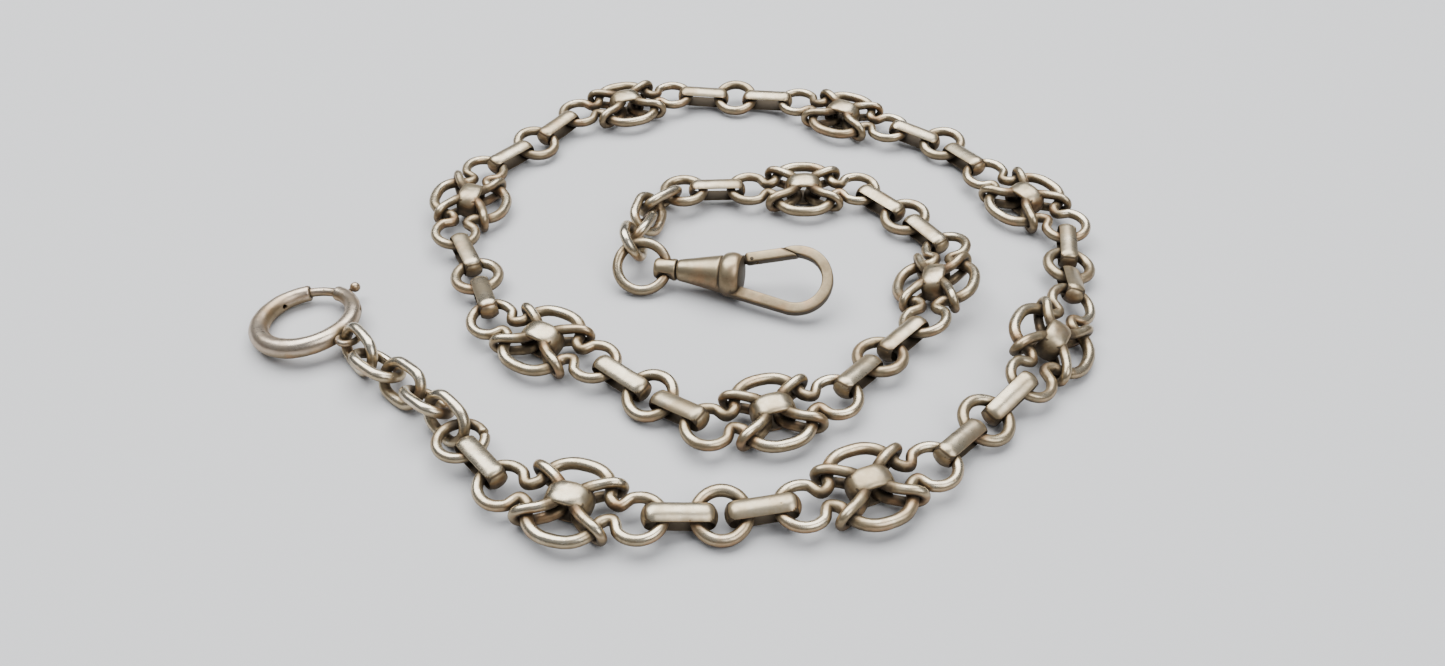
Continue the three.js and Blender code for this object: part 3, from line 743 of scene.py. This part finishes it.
# ---------------------------------------------------------------- the bolt ring
# Angles go round the ring, and the gap that the bolt closes is between its left and right ends.
RADIUS, THICK, THIN, THICK_AT = 5.25, 2.26, 1.75, -120
GAP_LEFT, GAP_RIGHT, BORE = 101, 64, 1.24
EYE_AT, EYE_ROOT = -33, 6.15
LUG = dict(radius=1.2, out=7.1, wire=0.38)
ROD = dict(start=22, end=107, radius=0.52)
KNOB_AT, KNOB_OUT, KNOB_RADIUS = 54, 7.05, 0.6
SLOT = dict(start=60, end=7, half=0.32, inner=0.3, outer=1.6)
VENT_AT, VENT_RADIUS = 141, 0.25
lean = Matrix.Rotation(math.radians(BOLT_RING_TILT), 4, polar(1, EYE_AT - 90))
bolt_at = Matrix.Translation(Vector(BOLT_RING_LAY) + SHIFT) @ lean


def arc_rings(angles, wires, sides=28):
    """Rings round an arc of the bolt ring's radius, one of each radius in wires."""
    return np.array(
        [
            [
                polar(RADIUS + wire * math.cos(b), a, wire * math.sin(b))[:]
                for b in np.linspace(0, 2 * math.pi, sides, endpoint=False)
            ]
            for a, wire in zip(angles, wires)
        ]
    )


def bolt_ring_mesh():
    """The hollow ring, open at the gap, with the knob's slot and a small vent cut in it."""
    angles = np.linspace(GAP_LEFT, GAP_RIGHT + 360, 150)
    outer = THIN / 2 + (THICK - THIN) / 4 * (1 + np.cos(np.radians(angles - THICK_AT)))
    to_lip = np.minimum(angles - GAP_LEFT, GAP_RIGHT + 360 - angles)
    outer = np.where(to_lip < 0.6, outer - 0.07, outer)
    bore = np.full(len(angles), BORE / 2)
    tube_mesh = make("bolt_ring_tube", np.concatenate([arc_rings(angles, outer), arc_rings(angles[::-1], bore)]))
    inner, outer, half = RADIUS + SLOT["inner"], RADIUS + SLOT["outer"], SLOT["half"]
    groove = [
        [polar(r, a, z)[:] for r, z in ((inner, -half), (outer, -half), (outer, half), (inner, half))]
        for a in np.linspace(SLOT["start"], SLOT["end"], 24)
    ]
    slot = make("slot", np.array(groove), closed=False)
    vent_profile = [(RADIUS - 1.8, VENT_RADIUS), (RADIUS - 0.2, VENT_RADIUS)]
    vent = make("vent", lathe_rings(vent_profile, 20), closed=False)
    vent.transform(Matrix.Rotation(math.radians(VENT_AT), 4, "Z"))
    return cut_by(tube_mesh, slot, vent)


def ring_hidden(p):
    """Painted shade deep inside the bore, along with tarnish there, and darker on the inner side of the ring's left.
    """
    out = np.hypot(p[:, 0], p[:, 1])
    deep_inside = 0.95 * (np.hypot(out - RADIUS, p[:, 2]) < BORE / 2 + 0.05)
    a = np.degrees(np.arctan2(p[:, 1], p[:, 0]))
    left = np.clip(1 - np.abs(((a - 165) + 180) % 360 - 180) / 55, 0, 1)
    return np.maximum(deep_inside, 0.5 * np.clip((RADIUS - 0.1 - out) / 0.9, 0, 1) * left)


def bolt_mesh():
    """The curved rod, with a rounded end."""
    wires = np.full(90, ROD["radius"])
    wires[-2:] = 0.43, 0.25
    return make("bolt_rod", arc_rings(np.linspace(ROD["start"], ROD["end"], 90), wires, 20), closed=False)


def knob_mesh():
    """A turned knob: a neck that flares into the rod, and a ball."""
    profile = [(RADIUS + 0.2, 0.4), (RADIUS + 0.5, 0.26), (RADIUS + 0.8, 0.21), (6.42, 0.22), (6.5, 0.3)]
    for a in np.linspace(150, 0, 16):
        b = math.radians(a)
        profile.append((KNOB_OUT + KNOB_RADIUS * math.cos(b), max(KNOB_RADIUS * math.sin(b), 0.01)))
    mesh = make("knob", lathe_rings(profile, 28), closed=False)
    mesh.transform(Matrix.Rotation(math.radians(KNOB_AT), 4, "Z"))
    return mesh


eye_root = bolt_at @ polar(EYE_ROOT, EYE_AT)
eye_contact = Vector(OUTER_RUN[0]) + SHIFT
bolt_common = dict(frame_of=bolt_at, body="bolt_ring", material=BOLT_SILVER, slot="clip_silver", nodes=["bolt_ring"])
piece(
    "bolt_ring_tube", bolt_ring_mesh(), contacts=[eye_root], hidden=ring_hidden, uneven=0.02, reach=0.9, under=0.55,
    **bolt_common,
)
lug_turns = np.linspace(0, 360, 72, endpoint=False)
lug_path = np.array([polar(LUG["radius"], a) + polar(LUG["out"], EYE_AT) for a in lug_turns])
lug_mesh = make("lug", tube(lug_path, LUG["wire"], 16))
piece("bolt_ring_eye", lug_mesh, contacts=[eye_root, eye_contact], reach=0.7, **bolt_common)

bolt_piece = dict(frame_of=bolt_at, body="bolt", slot="spring_silver", nodes=["bolt"], material=BOLT_SILVER)
gap_faces = [bolt_at @ polar(RADIUS, GAP_LEFT), bolt_at @ polar(RADIUS, GAP_RIGHT)]
piece("bolt_rod", bolt_mesh(), contacts=gap_faces, reach=0.45, uneven=0.006, **bolt_piece)
piece("bolt_knob", knob_mesh(), contacts=[bolt_at @ polar(6.35, KNOB_AT)], reach=0.4, uneven=0.006, **bolt_piece)

# ---------------------------------------------------------------- the dog clip
# Its own x runs from the swivel to the hook's end, and its profiles are rows of (distance along x, radius).
SWIVEL_HOLE, SWIVEL_BORE = 1.5, 1.0
HOOK = dict(centre=14.2, radius=3.55, width=1.3, depth=1.3, leg_start=6.5, leg_y=1.95)
JOINT_AT, JOINT_SLANT, SLANT_OVER = 110, 1.3, 12
HINGE = (8.65, 2.1)
GATE_ROOT = (7.85, HINGE[1] - 0.05, 0)
GATE_RINGS, GATE_EASED = 30, 27
SKIRT_START = 3.2
clip_ring_at = place(Vector(CLIP_RING_LAY) + SHIFT, (1, 0, 0), CLIP_RING_TILT)
on_ring = clip_ring_at @ polar(CLIP_RING["radius"], CLIP_HOLD)
line = polar(1, CLIP_HEADING)
line.z = math.tan(math.radians(CLIP_RISE))
line.normalize()
clip_origin = on_ring + line * (SWIVEL_HOLE - 0.12)
swivel_at = place(clip_origin, line, CLIP_RING_TILT)
clip_at = place(clip_origin, line, CLIP_ROLL)
joint_point = polar(HOOK["radius"], JOINT_AT) + vec(HOOK["centre"], 0)

piece(
    "clip_ring_wire", ring_mesh(CLIP_RING["radius"], CLIP_RING["wire"]), clip_ring_at, "clip_ring", PLAIN_SILVER,
    "clip_silver", ["clip_ring"], [on_ring, Vector(INNER_RUN[-1]) + SHIFT], reach=1.0, uneven=0.018,
)


def clip_cone_mesh():
    """The turned body: a long cone, a fine groove, and a bead before the hook."""
    profile = [(2.7, 0.01), (2.7, 0.6), (0.12, 0.6), (0.0, 0.7), (0.0, 1.13), (0.08, 1.24)]
    profile += [(x, 1.25 + (x / 5.3) * 0.98) for x in np.linspace(0.3, 5.1, 22)]
    profile += [(5.2, 2.17), (5.27, 2.07), (5.36, 2.07), (5.42, 2.14)]
    for a in np.linspace(-75, 82, 28):
        b = math.radians(a)
        profile.append((6.5 + 1.12 * math.sin(b), 2.06 + 0.59 * math.cos(b)))
    profile += [(7.68, 2.0), (7.75, 1.85), (7.76, 0.01)]
    return make("clip_cone", lathe_rings(profile, 64), closed=False)


def cone_hidden(p):
    """Painted shade, along with tarnish, in the groove, in the swivel's bore and on the face that the hook leaves."""
    groove = 0.85 * np.exp(-(((p[:, 0] - 5.3) / 0.11) ** 2))
    return groove + 0.9 * (np.hypot(p[:, 1], p[:, 2]) < 0.62) + 0.95 * (p[:, 0] > 7.6)


def skirt_mesh():
    """The cone's lower side, drawn out under the bead to hold the hook's leg."""
    profile = [(SKIRT_START, 0.01), (SKIRT_START, 1.74)]
    profile += [(x, 1.74 + (x - SKIRT_START) * 0.085) for x in np.linspace(3.5, 6.8, 14)]
    profile += [(6.88, 2.02), (6.9, 1.9), (6.9, 0.01)]
    rings = lathe_rings(profile, 64)
    rings[:, :, 1] -= 0.7 * (np.clip(rings[:, :, 0] - SKIRT_START, 0, None) / 3.7) ** 1.2
    return make("flare", rings, closed=False)


def bar_section(scale=1.0):
    """The hook's and the gate's flat-sided section."""
    w, d = HOOK["width"] / 2 * scale, HOOK["depth"] / 2 * scale
    return rounded([(w, -d), (w, d), (-w, d), (-w, -d)], 0.26 * scale, 5)


def bar_ring(p, side, along, slant, section, fuller=1.0):
    """One ring of a bar at p, slanted forwards on its outer side."""
    return [p + side * x * fuller + along * x * slant + np.array([0, 0, z]) for x, z in section]


def hook_rings():
    """The hook's leg, then its round up to the joint, where its end is cut on a slant."""
    start, centre = np.array([HOOK["leg_start"], -HOOK["leg_y"]]), np.array([HOOK["centre"], 0])
    to_leg = start - centre
    leg_at = math.degrees(math.atan2(to_leg[1], to_leg[0]))
    touch = leg_at + math.degrees(math.acos(HOOK["radius"] / np.linalg.norm(to_leg)))
    first = polar(HOOK["radius"], touch) + vec(*centre)
    path = [(*(start + (np.array(first[:2]) - start) * t), 0) for t in np.linspace(0, 1, 24, endpoint=False)]
    path += [(polar(HOOK["radius"], a) + vec(*centre))[:] for a in np.linspace(touch, JOINT_AT, 70)]
    path = np.array(path)
    t = directions(path, False)
    rings = []
    for i, (p, along, side) in enumerate(zip(path, t, np.cross(t, (0, 0, 1)))):
        slant = JOINT_SLANT * max(0, 1 - (len(path) - 1 - i) / SLANT_OVER)
        fuller = 1 + 0.1 * math.exp(-((i - 8) / 12) ** 2)
        rings.append(bar_ring(p, side, along, slant, bar_section(), fuller))
    return np.array(rings)


def gate_mesh():
    """The gate's bar, from its slanted tip at the joint to its eased root, slotted for the body's tongue."""
    tip = np.array((joint_point + polar(0.1, JOINT_AT + 90))[:])
    root = np.array(GATE_ROOT)
    along = (root - tip) / np.linalg.norm(root - tip)
    side = np.cross(along, (0, 0, 1))
    rings = []
    for i, u in enumerate(np.linspace(0, 1, GATE_RINGS)):
        slant = JOINT_SLANT * max(0, 1 - i / SLANT_OVER)
        eased = bar_section(1 - 0.22 * max(0, (i - GATE_EASED) / 2) ** 2)
        rings.append(bar_ring(tip + (root - tip) * u, side, along, slant, eased))
    bar = make("gate_bar", np.array(rings), closed=False)
    slot_section = ((-1, -0.35), (5, -0.35), (5, 0.35), (-1, 0.35))
    slot = make("gate_slot", np.array([[(x, y, z) for y, z in slot_section] for x in (7.0, 9.5)]), closed=False)
    return cut_by(bar, slot)


def rubbed_bar(p):
    """A dull face all along the bar, and a fine dark line where the gate's end meets the hook's."""
    slanted = polar(1, JOINT_AT) + JOINT_SLANT * polar(1, JOINT_AT + 90)
    across = Vector((slanted.y, -slanted.x)).normalized()
    dx, dy = p[:, 0] - joint_point.x, p[:, 1] - joint_point.y
    return 0.17 + 0.78 * np.exp(-(((dx * across.x + dy * across.y) / 0.12) ** 2)) * (np.hypot(dx, dy) < 1.6)


def tongue_mesh():
    """The body's flat tongue round the hinge."""
    nose = [(HINGE[0] + 0.5 * math.sin(a), 2.0 - 0.5 * math.cos(a)) for a in np.linspace(0, math.pi, 16)]
    outline = [(7.4, 1.5), *nose, (7.4, 2.5)]
    return make("tongue", np.array([[(x, y, z) for x, y in outline] for z in (-0.21, 0.21)]), closed=False)


def rivet_mesh():
    profile = [(-0.67, 0.01), (-0.67, 0.2), (-0.62, 0.26), (0.62, 0.26), (0.67, 0.2), (0.67, 0.01)]
    mesh = make("rivet", lathe_rings(profile, 20), closed=False)
    upright = Matrix.Rotation(math.radians(-90), 4, "Y")
    mesh.transform(Matrix.Translation(vec(*HINGE) - vec(0, 0.1)) @ upright)
    return mesh


def swivel_mesh():
    """The swivel: a drilled head that the clip's ring goes through, and a post in the body's bore."""
    profile = [(-2.85, 0.01), (-2.85, 0.85), (-2.78, 1.08), (-2.56, 1.24), (-2.3, 1.3), (-0.3, 1.3), (-0.18, 1.24)]
    profile += [(-0.15, 1.1), (-0.15, 0.45), (2.3, 0.45), (2.3, 0.01)]
    block = make("swivel", lathe_rings(profile, 44), closed=False)
    hole = make("hole", lathe_rings([(-3, SWIVEL_BORE), (3, SWIVEL_BORE)], 36), closed=False)
    hole.transform(Matrix.Translation(vec(-SWIVEL_HOLE, 0)) @ Matrix.Rotation(math.radians(90), 4, "Z"))
    return cut_by(block, hole)


def swivel_hidden(p):
    """Painted shade, along with tarnish, in the swivel's hole."""
    return 0.85 * (np.hypot(p[:, 0] + SWIVEL_HOLE, p[:, 2]) < SWIVEL_BORE + 0.04)


body_common = dict(frame_of=clip_at, body="clip_body", slot="clip_silver", nodes=["clip_body"], material=CLIP_SILVER)
piece("clip_cone", clip_cone_mesh(), hidden=cone_hidden, uneven=0.008, under=0.55, **body_common)
piece(
    "clip_skirt", skirt_mesh(), contacts=[clip_at @ vec(6.95, -1.95), clip_at @ vec(6.95, -2.7)], reach=0.45,
    uneven=0.008, under=0.55, **body_common,
)
piece(
    "clip_hook", make("clip_hook", hook_rings(), closed=False), contacts=[clip_at @ vec(7.0, -2.1)],
    hidden=rubbed_bar, reach=0.5, uneven=0.014, under=0.9, **body_common,
)
piece("clip_tongue", tongue_mesh(), under=0.9, uneven=0.0, **body_common)
gate_common = dict(frame_of=clip_at, body="clip_gate", slot="clip_silver", nodes=["clip_gate"], material=CLIP_SILVER)
piece(
    "clip_gate_bar", gate_mesh(), contacts=[clip_at @ vec(7.9, 2.1)], hidden=rubbed_bar, reach=0.4, uneven=0.01,
    under=0.9, **gate_common,
)
rivet_heads = [clip_at @ vec(*HINGE, z) for z in (0.67, -0.67)]
piece("clip_gate_rivet", rivet_mesh(), contacts=rivet_heads, reach=0.6, uneven=0.0, **gate_common)
piece(
    "clip_swivel_post", swivel_mesh(), swivel_at, "clip_swivel", CLIP_SILVER, "clip_silver", ["clip_swivel"],
    hidden=swivel_hidden, uneven=0.01, under=0.6,
)

darken_hollows()

# ---------------------------------------------------------------- floor, light and camera
FLOOR_HALF, FLOOR_GAP = 2, 0.00002
floor_corners = [(sx * FLOOR_HALF, sy * FLOOR_HALF, 0) for sx, sy in ((-1, -1), (1, -1), (1, 1), (-1, 1))]
floor_mesh = bpy.data.meshes.new("floor")
floor_mesh.from_pydata(floor_corners, [], [(0, 1, 2, 3)])
floor = bpy.data.objects.new("floor", floor_mesh)
floor.location.z = CAD_BOX[0].z - FLOOR_GAP
bpy.context.scene.collection.objects.link(floor)
paper = bpy.data.materials.new("floor_paper")
paper.use_nodes = True
paper_shader = paper.node_tree.nodes["Principled BSDF"]
paper_shader.inputs["Base Color"].default_value = (0.68, 0.695, 0.725, 1)
paper_shader.inputs["Roughness"].default_value = 0.6
floor_mesh.materials.append(paper)


def light(name, at, towards, size, power, colour):
    data = bpy.data.lights.new(name, "AREA")
    data.shape, data.size, data.size_y, data.energy, data.color = "RECTANGLE", size[0], size[1], power, colour
    obj = bpy.data.objects.new(name, data)
    obj.location = at
    obj.rotation_euler = (Vector(towards) - Vector(at)).to_track_quat("-Z", "Y").to_euler()
    bpy.context.scene.collection.objects.link(obj)


light("softbox", (-0.06, 0.2, 0.5), (0, 0.02, 0), (0.8, 0.5), 7.0, (1.0, 0.99, 0.965))
light("fill", (0.35, -0.3, 0.5), (0, 0, 0), (0.4, 0.4), 2.0, (1.0, 0.985, 0.96))

# The sky is dim at the horizon and brighter overhead.
world = bpy.data.worlds.new("studio")
bpy.context.scene.world = world
world.use_nodes = True
sky_nodes, sky_links = world.node_tree.nodes, world.node_tree.links
height_of_sky = sky_nodes.new("ShaderNodeSeparateXYZ")
sky = sky_nodes.new("ShaderNodeValToRGB")
low, high = sky.color_ramp.elements
low.position, low.color = 0.1, (0.07, 0.07, 0.075, 1)
high.position, high.color = 0.75, (0.3, 0.31, 0.33, 1)
sky_links.new(sky_nodes.new("ShaderNodeTexCoord").outputs["Generated"], height_of_sky.inputs[0])
sky_links.new(height_of_sky.outputs["Z"], sky.inputs["Fac"])
sky_links.new(sky.outputs["Color"], sky_nodes["Background"].inputs["Color"])

camera_data = bpy.data.cameras.new("camera")
camera_data.sensor_width = 36
camera_data.lens = 28.35
camera_data.clip_start, camera_data.clip_end = 0.005, 10
camera = bpy.data.objects.new("camera", camera_data)
camera.location = (vec(*CAMERA_LAY) + vec(SHIFT.x, SHIFT.y)) * MM
camera.rotation_euler = (math.radians(CAMERA_PITCH), 0, 0)
bpy.context.scene.collection.objects.link(camera)
bpy.context.scene.camera = camera
